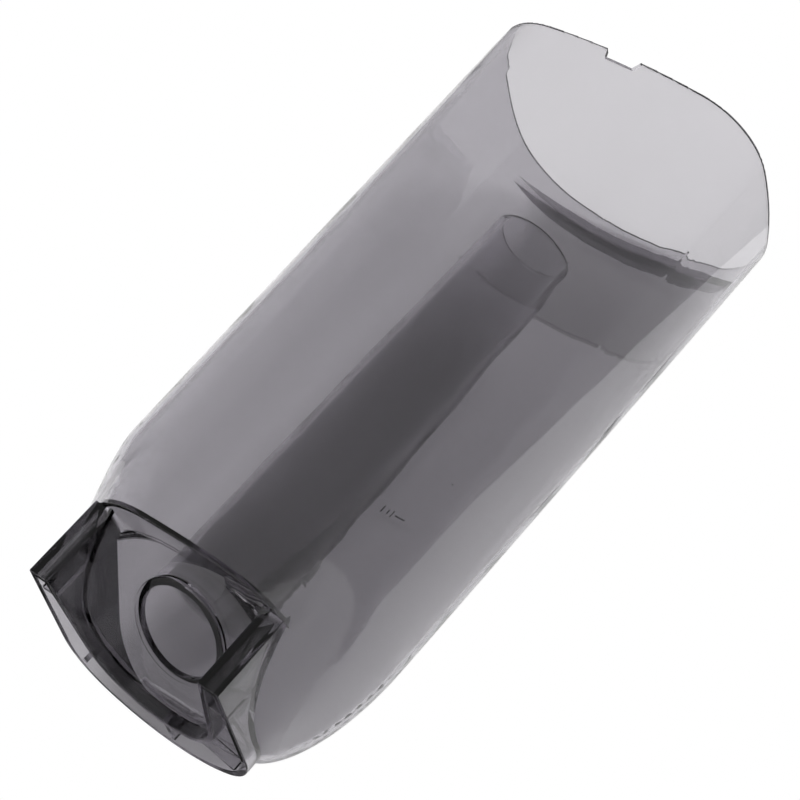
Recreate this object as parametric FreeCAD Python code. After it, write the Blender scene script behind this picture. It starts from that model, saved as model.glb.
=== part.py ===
"""Dirty water tank of an upright floor washer, moulded in one piece of clear grey plastic.

Frame: millimetres, +Z up the tank to its open mouth, front towards -Y, origin under the
middle of the mouth's width and depth, on the plane that the foot skirt stands on.

The tank is a deep drafted cup with a rounded D section: a nearly flat back, tight back
corners and a bowed front. Its floor is a round-nosed sump, set forward of the back wall by
a flat shoulder. A U-shaped recess opens from the back into the floor. In its sloping
ceiling is the inlet port, and a tapered standpipe rises from that port inside the tank. A
double-walled U skirt with closed legs and small ribs carries the tank on the machine.
"""

import FreeCAD, Part
import math
import os

from FreeCAD import Vector

# Body: outline at the mouth, seen from above
HEIGHT = 228.0
MOUTH_WIDTH = 100.0
MOUTH_DEPTH = 86.8
WIDEST_Y = 3.2
BACK_RADIUS = 205.0
BACK_CORNER_RADIUS = 24.5
SIDE_RADIUS = 130.0
FRONT_CORNER_RADIUS = 33.5
FRONT_RADIUS = 99.0
WALL = 2.0
DRAFT_ANGLE = 0.75

# Notch in the middle of the back rim, which keys the lid
NOTCH_TOP_WIDTH = 12.2
NOTCH_BOTTOM_WIDTH = 9.6
NOTCH_DEPTH = 3.4

# Finger grip: the front wall leans in under an overhanging ledge
GRIP_TOP_Z = 217.0
GRIP_HEIGHT = 33.7
GRIP_RUN_OUT = 3.0
GRIP_SIDE_SETBACK = 5.0
GRIP_DEPTH = 7.8
GRIP_CHORD_RADIUS = 130.0

# Shoulder and sump
SHOULDER_Z = 26.6
SUMP_FLOOR_Z = 4.0
SUMP_BACK_SETBACK = 6.2
SUMP_CORNER_RADIUS = 44.0
SUMP_CURL = 17.5
CURL_RINGS = 6
WAIST_Z = 51.0
WAIST_BAND = 8.0
SHOULDER_SIDE_SETBACK = 10.5
SHOULDER_CORNER_RADIUS = 25.5

# Recess under the floor, with a sloping ceiling
RECESS_RADIUS = 22.2
RECESS_CENTRE_Y = 4.9
RECESS_FLARE_ANGLE = 9.5
CEILING_ANGLE = 26.3
CEILING_Z_AT_PORT = 16.1
STEP_RADIUS = 42.7
STEP_CENTRE_Y = -10.6
STEP_HEIGHT = 1.3

# Inlet port and standpipe
PORT_Y = 9.0
PORT_BORE_RADIUS = 14.0
PORT_RING_RADIUS = 16.4
PORT_RING_HEIGHT = 0.8
PORT_STRAIGHT = 0.7
BEND_RADIUS = 17.0
PIPE_TOP_Z = 176.0
PIPE_TOP_RADIUS = 13.3
PIPE_WALL = 2.1

# Foot skirt
SKIRT_SIDE_SETBACK = 15.8
SKIRT_FRONT_SETBACK = 12.4
SKIRT_FRONT_RADIUS = 42.7
SKIRT_CORNER_RADIUS = 24.5
SKIRT_BACK_SETBACK = 11.4
SKIRT_WALL = 2.2

# Webs between the skirt's walls: where each leaves the inner wall, and which way it runs
RIB_THICKNESS = 1.6
RIB_LIFT = 0.5
RIB_STARTS = ((25.0, 24.0), (23.6, -4.0), (0.0, -19.0), (-15.2, -14.1), (-25.0, 18.0))
RIB_ANGLES = (0.0, -58.0, -90.0, -155.0, 180.0)

# Rounds on the moulded edges
RIM_ROUND = 0.4
FOOT_ROUND = 0.4
LEG_ROUND = 0.8
LIP_ROUND = 0.5
PIPE_TOP_ROUND = 0.6
PORT_RING_ROUND = 0.3
SAME_PLACE = 0.01


def arc(centre, radius, start, end):
    """Arc in the XY plane from one point to another, the short way round a centre."""
    first = math.atan2(start[1] - centre[1], start[0] - centre[0])
    last = math.atan2(end[1] - centre[1], end[0] - centre[0])
    turn = (last - first + math.pi) % (2 * math.pi) - math.pi
    middle = first + turn / 2
    bow = (centre[0] + radius * math.cos(middle), centre[1] + radius * math.sin(middle))
    return Part.Arc(Vector(*start, 0), Vector(*bow, 0), Vector(*end, 0)).toShape()


def corner_centre(big_a, radius_a, big_b, radius_b, radius, sign):
    """Centre of a circle inside two big circles and tangent to both, on the +X side.

    The two candidates mirror each other in the line between the big centres. sign picks
    the one towards the back (+1) or towards the front (-1).
    """
    reach_a, reach_b = radius_a - radius, radius_b - radius
    gap = math.dist(big_a, big_b)
    along = (reach_a**2 - reach_b**2 + gap**2) / (2 * gap)
    aside = math.sqrt(reach_a**2 - along**2)
    ux, uy = (big_b[0] - big_a[0]) / gap, (big_b[1] - big_a[1]) / gap
    picks = [
        (big_a[0] + along * ux - side * aside * uy, big_a[1] + along * uy + side * aside * ux)
        for side in (1, -1)
    ]
    return max(picks, key=lambda point: sign * point[1])


def touch(centre, radius, inner):
    """Point where a big circle touches a smaller one inside it."""
    gap = math.dist(centre, inner)
    return (
        centre[0] + radius * (inner[0] - centre[0]) / gap,
        centre[1] + radius * (inner[1] - centre[1]) / gap,
    )


def body_wire(z, inset, half_width, back_y, back_corner):
    """Closed outline of the body at one level: eight tangent arcs, moved inwards by inset."""
    front_y = -MOUTH_DEPTH / 2
    back = (0.0, back_y - BACK_RADIUS)
    side = (half_width - SIDE_RADIUS, WIDEST_Y)
    front = (0.0, front_y + FRONT_RADIUS)
    back_knee = corner_centre(back, BACK_RADIUS, side, SIDE_RADIUS, back_corner, 1)
    front_knee = corner_centre(front, FRONT_RADIUS, side, SIDE_RADIUS, FRONT_CORNER_RADIUS, -1)
    points = [
        touch(back, BACK_RADIUS - inset, back_knee),
        touch(side, SIDE_RADIUS - inset, back_knee),
        touch(side, SIDE_RADIUS - inset, front_knee),
        touch(front, FRONT_RADIUS - inset, front_knee),
    ]
    mirrored = [(-x, y) for x, y in points]
    left_back, left_front = (-back_knee[0], back_knee[1]), (-front_knee[0], front_knee[1])
    left_side = (-side[0], side[1])
    edges = [
        arc(back, BACK_RADIUS - inset, mirrored[0], points[0]),
        arc(back_knee, back_corner - inset, points[0], points[1]),
        arc(side, SIDE_RADIUS - inset, points[1], points[2]),
        arc(front_knee, FRONT_CORNER_RADIUS - inset, points[2], points[3]),
        arc(front, FRONT_RADIUS - inset, points[3], mirrored[3]),
        arc(left_front, FRONT_CORNER_RADIUS - inset, mirrored[3], mirrored[2]),
        arc(left_side, SIDE_RADIUS - inset, mirrored[2], mirrored[1]),
        arc(left_back, back_corner - inset, mirrored[1], mirrored[0]),
    ]
    wire = Part.Wire(edges)
    wire.translate(Vector(0, 0, z))
    return wire


def drafted(z):
    """How far the draft has moved the wall inwards at one level."""
    return (HEIGHT - z) * math.tan(math.radians(DRAFT_ANGLE))


def prism(wire, bottom, top):
    """Straight solid over an outline in the XY plane."""
    face = Part.Face(wire)
    face.translate(Vector(0, 0, bottom))
    return face.extrude(Vector(0, 0, top - bottom))


def body_solid(skin, top):
    """Everything inside the body's outer face moved inwards by skin, up to one level.

    Below the waist the walls curl in along a quarter ellipse to the floor, and the back
    corners open out. A flat-bottomed shoulder carries the upright back wall on down.
    """
    half, back = MOUTH_WIDTH / 2, MOUTH_DEPTH / 2
    floor, shoulder = SUMP_FLOOR_Z + skin, SHOULDER_Z + skin
    rings = []
    for step in range(CURL_RINGS + 1):
        turn = math.radians(90 * (1 - step / CURL_RINGS))
        level = floor + (WAIST_Z - floor) * (1 - math.sin(turn))
        lean = drafted(level)
        inset = lean + skin + (SUMP_CURL - skin) * (1 - math.cos(turn))
        share = math.sin(turn)
        back_y = back - share * (SUMP_BACK_SETBACK - lean)
        corner = (1 - share) * BACK_CORNER_RADIUS + share * SUMP_CORNER_RADIUS
        rings.append(body_wire(level, inset, half, back_y, corner))
    waist_ring = rings[-1]
    for level in (WAIST_Z + WAIST_BAND / 2, WAIST_Z + WAIST_BAND, top):
        inset = drafted(level) + skin
        rings.append(body_wire(level, inset, half, back, BACK_CORNER_RADIUS))
    sump = Part.makeLoft(rings[:-1], True, False)
    upper = Part.makeLoft(rings[-2:], True, True)
    lean = drafted(shoulder)
    shoulder_ring = body_wire(
        shoulder,
        lean + skin,
        half - SHOULDER_SIDE_SETBACK + lean,
        back,
        SHOULDER_CORNER_RADIUS + lean,
    )
    ledge = Part.makeLoft([shoulder_ring, waist_ring], True, True)
    return sump.fuse([upper, ledge])


def recess_wire(grow, back_y):
    """U outline open to the back: a round front with flared sides, moved outwards by grow."""
    flare = math.radians(RECESS_FLARE_ANGLE)
    radius = RECESS_RADIUS + grow
    knee = (radius * math.cos(flare), RECESS_CENTRE_Y - radius * math.sin(flare))
    back_x = knee[0] + (back_y - knee[1]) * math.tan(flare)
    nose = (0.0, RECESS_CENTRE_Y - radius)
    corners = [Vector(knee[0], knee[1], 0), Vector(back_x, back_y, 0)]
    mirror = [Vector(-point.x, point.y, 0) for point in corners]
    bow = Part.Arc(mirror[0], Vector(*nose, 0), corners[0]).toShape()
    sides = [
        Part.LineSegment(corners[0], corners[1]).toShape(),
        Part.LineSegment(corners[1], mirror[1]).toShape(),
        Part.LineSegment(mirror[1], mirror[0]).toShape(),
    ]
    return Part.Wire([bow] + sides)


def slope_tool(lift):
    """Big block over the sloping ceiling's plane, lifted along the plane's normal."""
    size = 4 * MOUTH_DEPTH
    block = Part.makeBox(size, size, size, Vector(-size / 2, -size / 2, lift))
    block.rotate(Vector(), Vector(1, 0, 0), CEILING_ANGLE)
    block.translate(Vector(0, PORT_Y, CEILING_Z_AT_PORT))
    return block


def recess_solid(grow):
    """The space under the floor, open to the back and below, grown by a wall's thickness."""
    back_y = MOUTH_DEPTH
    low = -1.0
    blank = prism(recess_wire(grow, back_y), low, SHOULDER_Z + grow)
    sloped = blank.cut(slope_tool(grow))
    behind_step = blank.cut(
        Part.makeCylinder(STEP_RADIUS, 4 * HEIGHT, Vector(0, STEP_CENTRE_Y, -HEIGHT))
    )
    behind_step = behind_step.cut(slope_tool(grow + STEP_HEIGHT))
    return sloped.fuse(behind_step)


def on_circle(centre, radius, x):
    """Front point of a circle at one x."""
    return (x, centre[1] - math.sqrt(radius**2 - (x - centre[0]) ** 2))


def pocket_wire(level, centres, radii, joint_x):
    """Three arcs across the front, closed by straight lines outside the body.

    Two outer arcs and a middle one meet at joint_x on each side. centres and radii give
    the middle arc's and the +X arc's circle.
    """
    middle, outer = centres
    joint = on_circle(middle, radii[0], joint_x)
    end = on_circle(outer, radii[1], MOUTH_WIDTH / 2 - GRIP_SIDE_SETBACK)
    left_joint, left_end = (-joint[0], joint[1]), (-end[0], end[1])
    corners = [end, (end[0], -MOUTH_DEPTH), (-end[0], -MOUTH_DEPTH), left_end]
    edges = [
        arc((-outer[0], outer[1]), radii[1], left_end, left_joint),
        arc(middle, radii[0], left_joint, joint),
        arc(outer, radii[1], joint, end),
    ]
    for start, stop in zip(corners, corners[1:]):
        edges.append(Part.LineSegment(Vector(*start, 0), Vector(*stop, 0)).toShape())
    wire = Part.Wire(edges)
    wire.translate(Vector(0, 0, level))
    return wire


def grip_solid(grow):
    """Space of the finger grip outside the front wall, grown inwards by a wall's thickness.

    It runs from the wall's own outline up to a flatter arc under the ledge. It starts a
    little below and outside the wall, so that the two surfaces cross cleanly.
    """
    low = GRIP_TOP_Z - GRIP_HEIGHT - GRIP_RUN_OUT
    inset = drafted(low) - GRIP_DEPTH * GRIP_RUN_OUT / GRIP_HEIGHT + grow
    side = (MOUTH_WIDTH / 2 - SIDE_RADIUS, WIDEST_Y)
    front = (0.0, -MOUTH_DEPTH / 2 + FRONT_RADIUS)
    knee = corner_centre(front, FRONT_RADIUS, side, SIDE_RADIUS, FRONT_CORNER_RADIUS, -1)
    radii = (FRONT_RADIUS - inset, FRONT_CORNER_RADIUS - inset)
    joint_x = touch(front, radii[0], knee)[0]
    low_wire = pocket_wire(low, (front, knee), radii, joint_x)
    nose_y = -MOUTH_DEPTH / 2 + drafted(GRIP_TOP_Z) + GRIP_DEPTH
    chord = (0.0, nose_y + GRIP_CHORD_RADIUS)
    flat = GRIP_CHORD_RADIUS - grow
    top_wire = pocket_wire(GRIP_TOP_Z, (chord, chord), (flat, flat), joint_x)
    pocket = Part.makeLoft([low_wire, top_wire], True, True)
    if grow:
        pocket = pocket.fuse(Part.Face(top_wire).extrude(Vector(0, 0, grow)))
    return pocket


def skirt_wire(inset, back_y):
    """Outline of the skirt: straight sides, tight corners and a bowed front."""
    half = MOUTH_WIDTH / 2 - SKIRT_SIDE_SETBACK - inset
    corner = SKIRT_CORNER_RADIUS - inset
    bow_radius = SKIRT_FRONT_RADIUS - inset
    bow_centre = (0.0, SKIRT_FRONT_SETBACK - MOUTH_DEPTH / 2 + SKIRT_FRONT_RADIUS)
    knee_x = half - corner
    knee_y = bow_centre[1] - math.sqrt((bow_radius - corner) ** 2 - knee_x**2)
    knee = (knee_x, knee_y)
    touch_point = touch(bow_centre, bow_radius, knee)
    left_knee, left_touch = (-knee_x, knee_y), (-touch_point[0], touch_point[1])
    corners = [(half, back_y), (-half, back_y), (-half, knee_y), (half, knee_y)]
    lines = [
        Part.LineSegment(Vector(*corners[a], 0), Vector(*corners[b], 0)).toShape()
        for a, b in ((0, 1), (1, 2))
    ]
    return Part.Wire(
        lines
        + [
            arc(left_knee, corner, corners[2], left_touch),
            arc(bow_centre, bow_radius, left_touch, touch_point),
            arc(knee, corner, touch_point, corners[3]),
            Part.LineSegment(Vector(*corners[3], 0), Vector(*corners[0], 0)).toShape(),
        ]
    )


def rib(start, angle):
    """Thin upright web that runs outwards from the skirt's inner wall past the outer one."""
    corner = Vector(0, -RIB_THICKNESS / 2, RIB_LIFT)
    web = Part.makeBox(MOUTH_WIDTH / 2, RIB_THICKNESS, SHOULDER_Z - RIB_LIFT, corner)
    web.rotate(Vector(), Vector(0, 0, 1), angle)
    web.translate(Vector(*start, 0))
    return web


def skirt_solid():
    """Double-walled U under the floor, closed at its two back legs, with its ribs."""
    leg_end = MOUTH_DEPTH / 2 - SKIRT_BACK_SETBACK
    block = prism(skirt_wire(0, leg_end), 0, SHOULDER_Z)
    block = block.cut(prism(recess_wire(0, MOUTH_DEPTH), -1, HEIGHT))
    gap = prism(skirt_wire(SKIRT_WALL, leg_end - SKIRT_WALL), -1, HEIGHT)
    gap = gap.cut(prism(recess_wire(SKIRT_WALL, MOUTH_DEPTH), -2, HEIGHT + 1))
    skirt = block.cut(gap)
    webs = [rib(start, angle).common(gap) for start, angle in zip(RIB_STARTS, RIB_ANGLES)]
    return skirt.fuse(webs)


def tilted(shape):
    """Moves a shape made about the origin onto the port, upright axis along the port's."""
    shape.rotate(Vector(), Vector(1, 0, 0), CEILING_ANGLE)
    shape.translate(Vector(0, PORT_Y, CEILING_Z_AT_PORT))
    return shape


def pipe_solid(radius_at_port, radius_at_foot, radius_at_top, lead, top):
    """Filled shape of the standpipe: a short straight mouth, a bend and a tapered upright.

    The bend turns about a line across the tank, so that the upright part is plumb.
    """
    mouth = tilted(Part.makeCylinder(radius_at_port, lead + PORT_STRAIGHT, Vector(0, 0, -lead)))
    disc = Part.Face(Part.Wire(Part.makeCircle(radius_at_foot, Vector(0, 0, PORT_STRAIGHT))))
    disc = tilted(disc)
    lean = math.radians(CEILING_ANGLE)
    along = Vector(0, -math.sin(lean), math.cos(lean))
    across = Vector(0, math.cos(lean), math.sin(lean))
    start = Vector(0, PORT_Y, CEILING_Z_AT_PORT) + along * PORT_STRAIGHT
    pivot = start + across * BEND_RADIUS
    bend = disc.revolve(pivot, Vector(1, 0, 0), -CEILING_ANGLE)
    foot = pivot - Vector(0, BEND_RADIUS, 0)
    upright = Part.makeCone(radius_at_foot, radius_at_top, top - foot.z, foot)
    return mouth.fuse([bend, upright])


def notch_solid():
    """Keyway cut down into the back rim, a little narrower at its bottom."""
    y = MOUTH_DEPTH / 2 - 4 * WALL
    z = HEIGHT - NOTCH_DEPTH
    top = HEIGHT + 1
    slope = (NOTCH_TOP_WIDTH - NOTCH_BOTTOM_WIDTH) / 2 / NOTCH_DEPTH
    half_low, half_top = NOTCH_BOTTOM_WIDTH / 2, NOTCH_TOP_WIDTH / 2 + slope
    outline = [(-half_low, z), (half_low, z), (half_top, top), (-half_top, top), (-half_low, z)]
    wire = Part.makePolygon([Vector(px, y, pz) for px, pz in outline])
    return Part.Face(wire).extrude(Vector(0, 8 * WALL, 0))


def level_edges(shape, level):
    """Edges that lie wholly at one level."""
    picks = []
    for edge in shape.Edges:
        box = edge.BoundBox
        if abs(box.ZMin - level) < SAME_PLACE and abs(box.ZMax - level) < SAME_PLACE:
            picks.append(edge)
    return picks


def rounded(shape):
    """Rounds the rim, the foot, the legs' upright edges, the back lip, pipe and port ring."""
    leg_end = MOUTH_DEPTH / 2 - SKIRT_BACK_SETBACK
    uprights = []
    for edge in shape.Edges:
        box = edge.BoundBox
        at_leg_end = abs(box.YMin - leg_end) + abs(box.YMax - leg_end) < SAME_PLACE
        if at_leg_end and box.ZLength > SHOULDER_Z / 2:
            uprights.append(edge)
    shape = shape.makeFillet(LEG_ROUND, uprights)
    shape = shape.makeFillet(FOOT_ROUND, level_edges(shape, 0))
    shape = shape.makeFillet(RIM_ROUND, level_edges(shape, HEIGHT))
    shape = shape.makeFillet(PIPE_TOP_ROUND, level_edges(shape, PIPE_TOP_Z))
    lip = [
        edge
        for edge in level_edges(shape, SHOULDER_Z)
        if edge.CenterOfMass.y > leg_end + SKIRT_WALL
    ]
    shape = shape.makeFillet(LIP_ROUND, lip)
    ring = [
        edge
        for edge in shape.Edges
        if edge.Curve.TypeId == "Part::GeomCircle"
        and abs(edge.Curve.Radius - PORT_RING_RADIUS) < SAME_PLACE
    ]
    ring.sort(key=lambda edge: edge.CenterOfMass.z)
    return shape.makeFillet(PORT_RING_ROUND, ring[:1])


def tank():
    outer = body_solid(0, HEIGHT).cut(grip_solid(0))
    cavity = body_solid(WALL, HEIGHT + 1).cut(grip_solid(WALL))
    cavity = cavity.cut(recess_solid(WALL))
    shell = outer.cut(cavity).cut(recess_solid(0))
    shell = shell.fuse(skirt_solid().cut(outer))
    foot = PORT_BORE_RADIUS + PIPE_WALL
    pipe = pipe_solid(PORT_RING_RADIUS, foot, PIPE_TOP_RADIUS, PORT_RING_HEIGHT, PIPE_TOP_Z)
    bore = pipe_solid(
        PORT_BORE_RADIUS,
        PORT_BORE_RADIUS,
        PIPE_TOP_RADIUS - PIPE_WALL,
        2 * PORT_RING_HEIGHT,
        PIPE_TOP_Z + WALL,
    )
    shell = shell.fuse(pipe).cut(bore)
    shell = shell.cut(notch_solid())
    return rounded(shell.removeSplitter().Solids[0])


os.makedirs("parts", exist_ok=True)
part = tank()
print("solids", len(part.Solids), "valid", part.isValid(), "volume", round(part.Volume))
part.exportStep("parts/tank.step")
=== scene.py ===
import math

import bmesh
import bpy
import numpy as np
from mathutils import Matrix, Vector


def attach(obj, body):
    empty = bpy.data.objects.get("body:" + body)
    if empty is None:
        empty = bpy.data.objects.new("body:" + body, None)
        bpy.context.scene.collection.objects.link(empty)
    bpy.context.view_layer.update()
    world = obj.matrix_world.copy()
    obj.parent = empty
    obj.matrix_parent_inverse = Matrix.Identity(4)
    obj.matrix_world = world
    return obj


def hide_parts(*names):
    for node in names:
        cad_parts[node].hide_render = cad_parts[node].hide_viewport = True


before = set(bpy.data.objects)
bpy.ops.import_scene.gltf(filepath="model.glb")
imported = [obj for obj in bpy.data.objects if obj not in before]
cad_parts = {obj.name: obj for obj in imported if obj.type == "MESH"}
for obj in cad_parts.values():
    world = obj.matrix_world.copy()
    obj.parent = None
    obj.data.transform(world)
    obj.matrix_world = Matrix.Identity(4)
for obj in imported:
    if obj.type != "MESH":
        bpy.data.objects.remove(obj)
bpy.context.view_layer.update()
scene = bpy.context.scene


# Camera. It looks up at the tank's back and foot from a little over half a metre away, so
# that the tank leans across the frame with its mouth at the upper right.
CAMERA_PLACE = (-0.30325, 0.53127, -0.14755)
CAMERA_TURN = (119.931, -38.148, -169.634)
FOCAL_PIXELS = 2286.6
FRAME_PIXELS = 800
SENSOR_WIDTH = 36.0

camera = bpy.data.objects.new("camera", bpy.data.cameras.new("camera"))
camera.location = CAMERA_PLACE
camera.rotation_euler = [math.radians(turn) for turn in CAMERA_TURN]
camera.data.sensor_width = SENSOR_WIDTH
camera.data.lens = FOCAL_PIXELS / FRAME_PIXELS * SENSOR_WIDTH
scene.collection.objects.link(camera)
scene.camera = camera


# Tank: one clear smoke-grey moulding, polished all over, with fine handling marks. Its form
# is the CAD solid's, and its tint is darkened in places by painted shade. The loose triangles
# are joined here, so that the curved walls shade as smooth ones and the moulded edges stay crisp.
MM = 0.001
JOIN_WITHIN = 0.001 * MM
EDGE_ANGLE = 28.0
NORMAL_WEIGHT = 80
# Plastic: its tint at the surface, its tint by depth, and its tint for the lamps' light
WALL_TINT = (0.755, 0.747, 0.765, 1.0)
SMOKE = (0.826, 0.817, 0.834, 1.0)
SMOKE_PER_METRE = 450.0
STRAIGHT_TINT = (0.83, 0.83, 0.83, 1.0)
PLASTIC_IOR = 1.49
CLEAR_ROUGHNESS, HAZY_ROUGHNESS, FROST_ROUGHNESS = 0.015, 0.06, 0.06
# Handling marks: broad waves, and scratches that run long up the wall
WAVE_SCALE, WAVE_DETAIL = 45.0, 1.0
SCRATCH_SCALE, SCRATCH_DETAIL, SCRATCH_STRETCH = 900.0, 3.0, 0.06
SCRATCH_FROM, SCRATCH_FULL, SCRATCH_SHARE = 0.62, 0.75, 0.12
MARK_STRENGTH, MARK_DEPTH = 0.25, 0.05 * MM
# Widths over which the painted shades below fade, across the tank and up it
FADE_ACROSS, FADE_UP = 1 * MM, 0.4 * MM
# Level and upright faces, told apart by how far the normal points up or down
LEVEL_FROM, LEVEL_FULL = 0.7, 0.8
UPRIGHT_FROM, UPRIGHT_FULL = 0.5, 0.3
# Grip band on the front wall, painted darker as shade, as are its lower line and its ledge:
# its lower line, its ledge, its full and faded half widths
BAND_LOW, BAND_HIGH, BAND_FULL, BAND_FADED = 0.1832, 0.2168, 0.024, 0.039
BAND_FRONT, BAND_SHADE = -0.0285, 0.62
LINE_HALF, LINE_OUT, LINE_IN, LINE_SHADE = 0.0395, 0.45 * MM, 0.25 * MM, 0.45
LEDGE_TOP, LEDGE_SHADE = 0.2195, 0.25
# Foot: the skirt's top, front and half width, and where its two legs begin, which get painted shade
FOOT_TOP, FOOT_FRONT, FOOT_HALF = 0.0262, -0.0315, 0.0345
LEG_FROM, LEG_BACK, LEG_SHADE = 0.0265, 0.0300, 0.36
# Recess: its round front's centre and radius, its sides' flare, its lip and its wall, which gets
# painted shade
RECESS_Y, RECESS_RADIUS, RECESS_FLARE = 0.0049, 0.0222, 9.5
RECESS_LIP_IN, RECESS_LIP_OUT = 0.6 * MM, 0.1 * MM
RECESS_WALL_OUT, RECESS_WALL_IN, RECESS_SHADE = 2.9 * MM, 2.4 * MM, 0.16
# Painted shade along the step in the recess's ceiling: its arc, its line's half width and the
# highest it reaches
STEP_Y, STEP_RADIUS, STEP_OUT, STEP_IN = -0.0106, 0.0427, 0.5 * MM, 0.3 * MM
STEP_ABOVE, STEP_FULL, STEP_SHADE = 4 * MM, 3 * MM, 0.25
# Painted shade on the standpipe: its axis, its reach, the levels between which its shade fades, and
# its darker foot
PIPE_Y, PIPE_REACH, PIPE_EDGE = 0.00693, 0.0168, 0.5 * MM
PIPE_LOW, PIPE_RISE, PIPE_DARK, PIPE_FADED, PIPE_SHADE = 0.027, 2 * MM, 0.130, 0.170, 0.67
PIPE_FOOT, PIPE_FOOT_DARK, PIPE_FOOT_SHADE = 0.066, 0.044, 0.80
# Painted shade streak down the standpipe's side: its turn, its start across the pipe, and its slope
STREAK_TURN, STREAK_FROM, STREAK_EDGE = 29.9, 0.0098, 0.8 * MM
STREAK_RISE, STREAK_SHADE = 0.12, 0.50


def fine_marks():
    """Node group: shallow moulding waves plus fine random scratches, as one height, and a
    mask that is high where the surface is a little hazier."""
    group = bpy.data.node_groups.new("moulded_marks", "ShaderNodeTree")
    sockets = group.interface
    sockets.new_socket("Wave Scale", in_out="INPUT", socket_type="NodeSocketFloat")
    sockets.new_socket("Scratch Scale", in_out="INPUT", socket_type="NodeSocketFloat")
    sockets.new_socket("Height", in_out="OUTPUT", socket_type="NodeSocketFloat")
    sockets.new_socket("Haze", in_out="OUTPUT", socket_type="NodeSocketFloat")
    nodes, links = group.nodes, group.links
    given = nodes.new("NodeGroupInput")
    out = nodes.new("NodeGroupOutput")
    where = nodes.new("ShaderNodeTexCoord")
    wave = nodes.new("ShaderNodeTexNoise")
    wave.inputs["Detail"].default_value = WAVE_DETAIL
    links.new(where.outputs["Object"], wave.inputs["Vector"])
    links.new(given.outputs["Wave Scale"], wave.inputs["Scale"])
    stretch = nodes.new("ShaderNodeMapping")
    stretch.inputs["Scale"].default_value = (1.0, 1.0, SCRATCH_STRETCH)
    links.new(where.outputs["Object"], stretch.inputs["Vector"])
    scratch = nodes.new("ShaderNodeTexNoise")
    scratch.inputs["Detail"].default_value = SCRATCH_DETAIL
    links.new(stretch.outputs["Vector"], scratch.inputs["Vector"])
    links.new(given.outputs["Scratch Scale"], scratch.inputs["Scale"])
    thin = nodes.new("ShaderNodeMapRange")
    thin.inputs["From Min"].default_value = SCRATCH_FROM
    thin.inputs["From Max"].default_value = SCRATCH_FULL
    links.new(scratch.outputs["Fac"], thin.inputs["Value"])
    height = calc(group, "MULTIPLY_ADD", thin.outputs["Result"], SCRATCH_SHARE, wave.outputs["Fac"])
    links.new(height, out.inputs["Height"])
    links.new(thin.outputs["Result"], out.inputs["Haze"])
    return group


def ramp(tree, value, low, high):
    """Value socket turned into 0 at low and 1 at high, smooth between. Low may be the larger."""
    step = tree.nodes.new("ShaderNodeMapRange")
    step.interpolation_type = "SMOOTHSTEP"
    step.inputs["From Min"].default_value = low
    step.inputs["From Max"].default_value = high
    tree.links.new(value, step.inputs["Value"])
    return step.outputs["Result"]


def calc(tree, operation, *values):
    """Math node over sockets and plain numbers."""
    node = tree.nodes.new("ShaderNodeMath")
    node.operation = operation
    for place, value in enumerate(values):
        if isinstance(value, (int, float)):
            node.inputs[place].default_value = value
        else:
            tree.links.new(value, node.inputs[place])
    return node.outputs["Value"]


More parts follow.
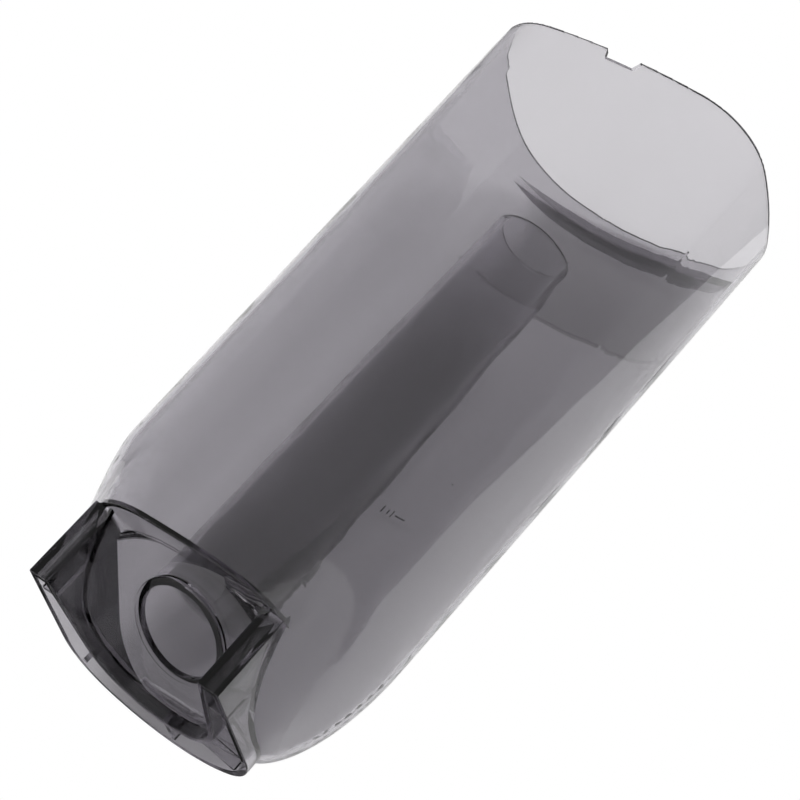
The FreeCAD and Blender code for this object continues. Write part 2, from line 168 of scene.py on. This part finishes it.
def smoke_tint_and_painted_shade():
    """Node group: the wall's tint with painted shade by place on the grip band, its line and ledge,
    the legs, the recess's wall and step, and the standpipe, its foot and a streak down its side;
    and the band's frosting. A place is a product of soft limits; its painted shade is 1 + mask *
    (shade - 1)."""
    group = bpy.data.node_groups.new("smoke_tint_and_painted_shade", "ShaderNodeTree")
    group.interface.new_socket("Tint", in_out="INPUT", socket_type="NodeSocketColor")
    group.interface.new_socket("Color", in_out="OUTPUT", socket_type="NodeSocketColor")
    group.interface.new_socket("Frost", in_out="OUTPUT", socket_type="NodeSocketFloat")
    nodes, links = group.nodes, group.links
    given = nodes.new("NodeGroupInput")
    out = nodes.new("NodeGroupOutput")
    where = nodes.new("ShaderNodeTexCoord")
    split = nodes.new("ShaderNodeSeparateXYZ")
    links.new(where.outputs["Object"], split.inputs["Vector"])
    x, y, z = split.outputs["X"], split.outputs["Y"], split.outputs["Z"]
    side = calc(group, "ABSOLUTE", x)
    face = nodes.new("ShaderNodeNewGeometry")
    facing = nodes.new("ShaderNodeSeparateXYZ")
    links.new(face.outputs["True Normal"], facing.inputs["Vector"])
    level = calc(group, "ABSOLUTE", facing.outputs["Z"])

    def product(*factors):
        total = factors[0]
        for factor in factors[1:]:
            total = calc(group, "MULTIPLY", total, factor)
        return total

    def shaded(mask, shade):
        return calc(group, "MULTIPLY_ADD", mask, shade - 1.0, 1.0)

    def reach(centre_y):
        across = calc(group, "MULTIPLY", x, x)
        along = calc(group, "SUBTRACT", y, centre_y)
        return calc(group, "SQRT", calc(group, "MULTIPLY_ADD", along, along, across))

    front_wall = ramp(group, y, BAND_FRONT, BAND_FRONT - FADE_ACROSS)
    front = product(ramp(group, side, BAND_FADED, BAND_FULL), front_wall)
    band = product(
        front,
        ramp(group, z, BAND_LOW, BAND_LOW + FADE_UP),
        ramp(group, z, BAND_HIGH, BAND_HIGH - FADE_UP),
    )
    off_line = calc(group, "ABSOLUTE", calc(group, "SUBTRACT", z, BAND_LOW))
    line = product(
        ramp(group, side, LINE_HALF + FADE_ACROSS, LINE_HALF),
        front_wall,
        ramp(group, off_line, LINE_OUT, LINE_IN),
    )
    ledge = product(
        front,
        ramp(group, z, BAND_HIGH - FADE_UP, BAND_HIGH),
        ramp(group, z, LEDGE_TOP, LEDGE_TOP - FADE_UP),
        ramp(group, level, LEVEL_FROM, LEVEL_FULL),
    )

    # The recess is an arc in front of its centre and two flared straight sides behind it
    flare = math.radians(RECESS_FLARE)
    behind = calc(group, "GREATER_THAN", y, RECESS_Y - RECESS_RADIUS * math.sin(flare))
    drop = calc(group, "MULTIPLY", calc(group, "SUBTRACT", y, RECESS_Y), -math.sin(flare))
    straight = calc(group, "MULTIPLY_ADD", side, math.cos(flare), drop)
    bowed = reach(RECESS_Y)
    more = calc(group, "MULTIPLY", calc(group, "SUBTRACT", straight, bowed), behind)
    from_recess = calc(group, "ADD", bowed, more)
    foot = product(
        ramp(group, z, FOOT_TOP, FOOT_TOP - FADE_ACROSS),
        ramp(group, y, FOOT_FRONT - FADE_ACROSS, FOOT_FRONT),
        ramp(group, side, FOOT_HALF + FADE_ACROSS, FOOT_HALF),
        ramp(group, from_recess, RECESS_RADIUS - RECESS_LIP_IN, RECESS_RADIUS - RECESS_LIP_OUT),
    )
    legs = product(foot, ramp(group, y, LEG_FROM, LEG_BACK))
    recess_wall = product(
        foot,
        ramp(group, from_recess, RECESS_RADIUS + RECESS_WALL_OUT, RECESS_RADIUS + RECESS_WALL_IN),
        ramp(group, level, UPRIGHT_FROM, UPRIGHT_FULL),
    )
    off_step = calc(group, "ABSOLUTE", calc(group, "SUBTRACT", reach(STEP_Y), STEP_RADIUS))
    step = product(
        ramp(group, off_step, STEP_OUT, STEP_IN),
        ramp(group, from_recess, RECESS_RADIUS, RECESS_RADIUS - STEP_IN),
        ramp(group, z, FOOT_TOP + STEP_ABOVE, FOOT_TOP + STEP_FULL),
    )

    pipe = product(
        ramp(group, reach(PIPE_Y), PIPE_REACH, PIPE_REACH - PIPE_EDGE),
        ramp(group, z, PIPE_LOW, PIPE_LOW + PIPE_RISE),
        ramp(group, z, PIPE_FADED, PIPE_DARK),
    )
    pipe_foot = product(pipe, ramp(group, z, PIPE_FOOT, PIPE_FOOT_DARK))
    turn = math.radians(STREAK_TURN)
    across = calc(group, "MULTIPLY", calc(group, "SUBTRACT", y, PIPE_Y), -math.sin(turn))
    across = calc(group, "MULTIPLY_ADD", x, -math.cos(turn), across)
    rise = calc(group, "MULTIPLY", calc(group, "SUBTRACT", z, PIPE_FOOT), -STREAK_RISE)
    into = calc(group, "ADD", across, rise)
    painted_streak = product(pipe, ramp(group, into, STREAK_FROM, STREAK_FROM + STREAK_EDGE))

    # Painted shade: each place's shade multiplies the wall's tint darker
    total = product(
        shaded(pipe_foot, PIPE_FOOT_SHADE),
        shaded(painted_streak, STREAK_SHADE),
        shaded(band, BAND_SHADE),
        shaded(line, LINE_SHADE),
        shaded(ledge, LEDGE_SHADE),
        shaded(legs, LEG_SHADE),
        shaded(recess_wall, RECESS_SHADE),
        shaded(step, STEP_SHADE),
        shaded(pipe, PIPE_SHADE),
    )
    tinted = nodes.new("ShaderNodeVectorMath")
    tinted.operation = "SCALE"
    links.new(given.outputs["Tint"], tinted.inputs[0])
    links.new(total, tinted.inputs["Scale"])
    links.new(tinted.outputs["Vector"], out.inputs["Color"])
    links.new(band, out.inputs["Frost"])
    return group


def clear_plastic(name):
    """Glass-clear plastic that dims light by its thickness and lets the lamps through. Its base
    colour is the tint with painted shade in places.
    """
    material = bpy.data.materials.new(name)
    material.use_nodes = True
    tree = material.node_tree
    nodes, links = tree.nodes, tree.links
    out = nodes["Material Output"]
    plastic = nodes["Principled BSDF"]
    tint_and_painted_shade = nodes.new("ShaderNodeGroup")
    tint_and_painted_shade.node_tree = smoke_tint_and_painted_shade()
    tint_and_painted_shade.inputs["Tint"].default_value = WALL_TINT
    # Base colour: the wall's tint darkened by painted shade in places
    links.new(tint_and_painted_shade.outputs["Color"], plastic.inputs["Base Color"])
    plastic.inputs["Transmission Weight"].default_value = 1.0
    plastic.inputs["IOR"].default_value = PLASTIC_IOR
    marks = nodes.new("ShaderNodeGroup")
    marks.node_tree = fine_marks()
    marks.inputs["Wave Scale"].default_value = WAVE_SCALE
    marks.inputs["Scratch Scale"].default_value = SCRATCH_SCALE
    haze = nodes.new("ShaderNodeMapRange")
    haze.inputs["To Min"].default_value = CLEAR_ROUGHNESS
    haze.inputs["To Max"].default_value = HAZY_ROUGHNESS
    links.new(marks.outputs["Haze"], haze.inputs["Value"])
    frost = tint_and_painted_shade.outputs["Frost"]
    frosted = calc(tree, "MULTIPLY_ADD", frost, FROST_ROUGHNESS, haze.outputs["Result"])
    links.new(frosted, plastic.inputs["Roughness"])
    bump = nodes.new("ShaderNodeBump")
    bump.inputs["Strength"].default_value = MARK_STRENGTH
    bump.inputs["Distance"].default_value = MARK_DEPTH
    links.new(marks.outputs["Height"], bump.inputs["Height"])
    links.new(bump.outputs["Normal"], plastic.inputs["Normal"])
    shade = nodes.new("ShaderNodeBsdfTransparent")
    shade.inputs["Color"].default_value = STRAIGHT_TINT
    path = nodes.new("ShaderNodeLightPath")
    straight = calc(tree, "MAXIMUM", path.outputs["Is Shadow Ray"], path.outputs["Is Diffuse Ray"])
    choice = nodes.new("ShaderNodeMixShader")
    links.new(straight, choice.inputs["Fac"])
    links.new(plastic.outputs["BSDF"], choice.inputs[1])
    links.new(shade.outputs["BSDF"], choice.inputs[2])
    links.new(choice.outputs["Shader"], out.inputs["Surface"])
    smoke = nodes.new("ShaderNodeVolumeAbsorption")
    smoke.inputs["Color"].default_value = SMOKE
    smoke.inputs["Density"].default_value = SMOKE_PER_METRE
    links.new(smoke.outputs["Volume"], out.inputs["Volume"])
    return material


joined = bmesh.new()
joined.from_mesh(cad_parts["tank"].data)
bmesh.ops.remove_doubles(joined, verts=joined.verts, dist=JOIN_WITHIN)
for face in joined.faces:
    face.smooth = True
for edge in joined.edges:
    edge.smooth = edge.is_manifold and edge.calc_face_angle() < math.radians(EDGE_ANGLE)
shell_mesh = bpy.data.meshes.new("tank_shell")
joined.to_mesh(shell_mesh)
joined.free()
shell = bpy.data.objects.new("tank_shell", shell_mesh)
scene.collection.objects.link(shell)
even_normals = shell.modifiers.new("even_normals", "WEIGHTED_NORMAL")
even_normals.mode = "FACE_AREA"
even_normals.weight = NORMAL_WEIGHT
even_normals.keep_sharp = True
shell_mesh.materials.append(clear_plastic("smoke_grey_plastic"))
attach(shell, "root")
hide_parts("tank")


# Level mark: a short raised dash with three ticks and a gate point on the front wall's
# outside, printed dark. Each stroke is a thin plate that follows the wall's arc and is set
# into it.
MARK_PROUD, MARK_SUNK, MARK_STEPS, MARK_CORNERS = 0.12, 0.08, 6, 4
# Dash, three ticks and gate point in millimetres: left, right, low, high
MARK_STROKES = (
    (-3.9, 0.5, 98.75, 99.25),
    (1.6, 2.0, 97.7, 100.3),
    (3.6, 4.0, 98.2, 99.8),
    (5.6, 6.0, 97.7, 100.3),
    (-9.3, -8.7, 117.0, 117.6),
)
WALL_FRONT, WALL_RADIUS, WALL_TOP, WALL_DRAFT = -43.4, 99.0, 228.0, 0.75
INK_GRAIN = 4000.0
INK_DARK, INK_PALE = (0.012, 0.012, 0.015, 1.0), (0.035, 0.035, 0.042, 1.0)
INK_GLOSSY, INK_DULL = 0.35, 0.6


def level_mark():
    """Strokes on the wall's outside: y = front + R - sqrt((R - lean)^2 - x^2), at each level
    with lean = (top - z) tan(draft), moved out by MARK_PROUD and in by MARK_SUNK."""
    points, faces = [], []
    for left, right, low, high in MARK_STROKES:
        x = np.linspace(left, right, MARK_STEPS + 1)
        rings = []
        corners = ((low, -MARK_SUNK), (low, MARK_PROUD), (high, MARK_PROUD), (high, -MARK_SUNK))
        for z, out in corners:
            lean = (WALL_TOP - z) * math.tan(math.radians(WALL_DRAFT))
            y = WALL_FRONT + WALL_RADIUS - np.sqrt((WALL_RADIUS - lean + out) ** 2 - x**2)
            rings.append(np.stack([x, y, np.full_like(x, z)], axis=1))
        start = len(points)
        points.extend(np.stack(rings, axis=1).reshape(-1, 3) * MM)
        for step in range(MARK_STEPS):
            ring = start + MARK_CORNERS * step
            for side in range(MARK_CORNERS):
                a, b = ring + side, ring + (side + 1) % MARK_CORNERS
                faces.append((a, a + MARK_CORNERS, b + MARK_CORNERS, b))
        last = start + MARK_CORNERS * MARK_STEPS
        faces.append((start, start + 1, start + 2, start + 3))
        faces.append((last + 3, last + 2, last + 1, last))
    return points, faces


def mark_ink(name):
    """Dark grey print with a little unevenness in its tone and gloss."""
    material = bpy.data.materials.new(name)
    material.use_nodes = True
    nodes, links = material.node_tree.nodes, material.node_tree.links
    ink = nodes["Principled BSDF"]
    where = nodes.new("ShaderNodeTexCoord")
    grain = nodes.new("ShaderNodeTexNoise")
    grain.inputs["Scale"].default_value = INK_GRAIN
    links.new(where.outputs["Object"], grain.inputs["Vector"])
    tone = nodes.new("ShaderNodeValToRGB")
    tone.color_ramp.elements[0].color = INK_DARK
    tone.color_ramp.elements[1].color = INK_PALE
    links.new(grain.outputs["Fac"], tone.inputs["Fac"])
    links.new(tone.outputs["Color"], ink.inputs["Base Color"])
    gloss = nodes.new("ShaderNodeMapRange")
    gloss.inputs["To Min"].default_value = INK_GLOSSY
    gloss.inputs["To Max"].default_value = INK_DULL
    links.new(grain.outputs["Fac"], gloss.inputs["Value"])
    links.new(gloss.outputs["Result"], ink.inputs["Roughness"])
    return material


mark_points, mark_faces = level_mark()
mark_mesh = bpy.data.meshes.new("level_mark")
mark_mesh.from_pydata([tuple(point) for point in mark_points], [], mark_faces)
mark = bpy.data.objects.new("level_mark", mark_mesh)
scene.collection.objects.link(mark)
mark_mesh.materials.append(mark_ink("mark_print"))
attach(mark, "root")


# Floor: a plain pale sheet under the foot, which fades into the white surround. It is seen
# from above only, so that the camera below it sees the tank's foot.
FLOOR_SIZE = 3.0
FLOOR_FADE = (0.30, 0.80)
FLOOR_COLOUR = (0.82, 0.82, 0.82, 1.0)
MATT_ROUGHNESS = 0.9


def flat_sheet(name, corners, material):
    """One stage sheet through four corners. Its front is the side from which the corners run
    anticlockwise."""
    mesh = bpy.data.meshes.new(name)
    mesh.from_pydata(corners, [], [(0, 1, 2, 3)])
    sheet = bpy.data.objects.new(name, mesh)
    scene.collection.objects.link(sheet)
    mesh.materials.append(material)
    return sheet


def one_sided(name, colour, fade, unseen_direct):
    """Matt colour on the sheet's front, nothing on its back. It fades out between the two
    distances in fade. Where unseen_direct is set, the camera sees it only through plastic."""
    material = bpy.data.materials.new(name)
    material.use_nodes = True
    tree = material.node_tree
    nodes, links = tree.nodes, tree.links
    out = nodes["Material Output"]
    matt = nodes["Principled BSDF"]
    matt.inputs["Roughness"].default_value = MATT_ROUGHNESS
    matt.inputs["Base Color"].default_value = colour
    clear = nodes.new("ShaderNodeBsdfTransparent")
    side = nodes.new("ShaderNodeNewGeometry")
    choice = nodes.new("ShaderNodeMixShader")
    where = nodes.new("ShaderNodeTexCoord")
    far = nodes.new("ShaderNodeVectorMath")
    far.operation = "LENGTH"
    links.new(where.outputs["Object"], far.inputs[0])
    faded = ramp(tree, far.outputs["Value"], *fade)
    share = calc(tree, "MAXIMUM", side.outputs["Backfacing"], faded)
    if unseen_direct:
        path = nodes.new("ShaderNodeLightPath")
        share = calc(tree, "MAXIMUM", share, path.outputs["Is Camera Ray"])
    links.new(share, choice.inputs["Fac"])
    links.new(matt.outputs["BSDF"], choice.inputs[1])
    links.new(clear.outputs["BSDF"], choice.inputs[2])
    links.new(choice.outputs["Shader"], out.inputs["Surface"])
    return material


half = FLOOR_SIZE / 2
flat_sheet(
    "floor",
    [(-half, -half, 0), (half, -half, 0), (half, half, 0), (-half, half, 0)],
    one_sided("pale_floor", FLOOR_COLOUR, FLOOR_FADE, False),
)


# Card: a white card close in front of the tank, seen only through the plastic, which darkens
# it. It casts no shadow. Its slanting edge lies past the tank's right outline in the camera's
# view, so that the plastic stays light along there.
CARD_Y = -0.0445
CARD_RIGHT = 0.40
CARD_LEFT_LOW, CARD_LEFT_HIGH = -0.145, -0.052
CARD_LOW, CARD_HIGH = 0.0005, 0.30
CARD_FADE = (0.90, 1.00)
CARD_COLOUR = (0.95, 0.95, 0.95, 1.0)

card = flat_sheet(
    "card",
    [
        (CARD_RIGHT, CARD_Y, CARD_LOW),
        (CARD_LEFT_LOW, CARD_Y, CARD_LOW),
        (CARD_LEFT_HIGH, CARD_Y, CARD_HIGH),
        (CARD_RIGHT, CARD_Y, CARD_HIGH),
    ],
    one_sided("white_card", CARD_COLOUR, CARD_FADE, True),
)
card.visible_shadow = False
card.visible_diffuse = False


# Light: a white surround that the camera and the plastic see, a dimmer even light on the
# rest, and three soft lamps, two on the side of the tank's back and one above. Below the
# horizon the surround is dimmer for all but the camera.
SURROUND = 1.0
EVEN_LIGHT = 0.3
UNDER_DIM, UNDER_FROM, UNDER_FULL = 0.85, -0.10, -0.25
# Lamps: name, place, target, size in metres, watts
LAMPS = (
    ("back_lamp", (-0.1, 1.3, 0.95), (0.0, 0.0, 0.12), 1.5, 9.5),
    ("side_lamp", (-0.75, 1.4, 0.65), (0.0, 0.0, 0.12), 0.5, 14.0),
    ("top_lamp", (-0.2, -0.3, 1.7), (0.0, 0.0, 0.0), 0.8, 20.0),
)

for name, place, target, size, watts in LAMPS:
    lamp = bpy.data.objects.new(name, bpy.data.lights.new(name, "AREA"))
    lamp.data.size = size
    lamp.data.energy = watts
    lamp.location = place
    aim = Vector(target) - Vector(place)
    lamp.rotation_euler = aim.to_track_quat("-Z", "Y").to_euler()
    lamp.visible_glossy = False
    lamp.visible_transmission = False
    scene.collection.objects.link(lamp)

world = bpy.data.worlds.new("studio")
scene.world = world
world.use_nodes = True
sky = world.node_tree
path = sky.nodes.new("ShaderNodeLightPath")
direct = path.outputs["Is Camera Ray"]
seen = calc(sky, "MAXIMUM", direct, path.outputs["Is Transmission Ray"])
brightness = sky.nodes.new("ShaderNodeMapRange")
brightness.inputs["To Min"].default_value = EVEN_LIGHT
brightness.inputs["To Max"].default_value = SURROUND
sky.links.new(seen, brightness.inputs["Value"])
direction = sky.nodes.new("ShaderNodeTexCoord")
height = sky.nodes.new("ShaderNodeSeparateXYZ")
sky.links.new(direction.outputs["Generated"], height.inputs["Vector"])
lower = ramp(sky, height.outputs["Z"], UNDER_FROM, UNDER_FULL)
unseen = calc(sky, "SUBTRACT", 1.0, direct)
dimmed = calc(sky, "MULTIPLY", lower, calc(sky, "MULTIPLY", unseen, UNDER_DIM))
kept = calc(sky, "SUBTRACT", 1.0, dimmed)
strength = calc(sky, "MULTIPLY", brightness.outputs["Result"], kept)
background = sky.nodes["Background"]
sky.links.new(strength, background.inputs["Strength"])
background.inputs["Color"].default_value = (1.0, 1.0, 1.0, 1.0)

scene.view_settings.view_transform = "Standard"
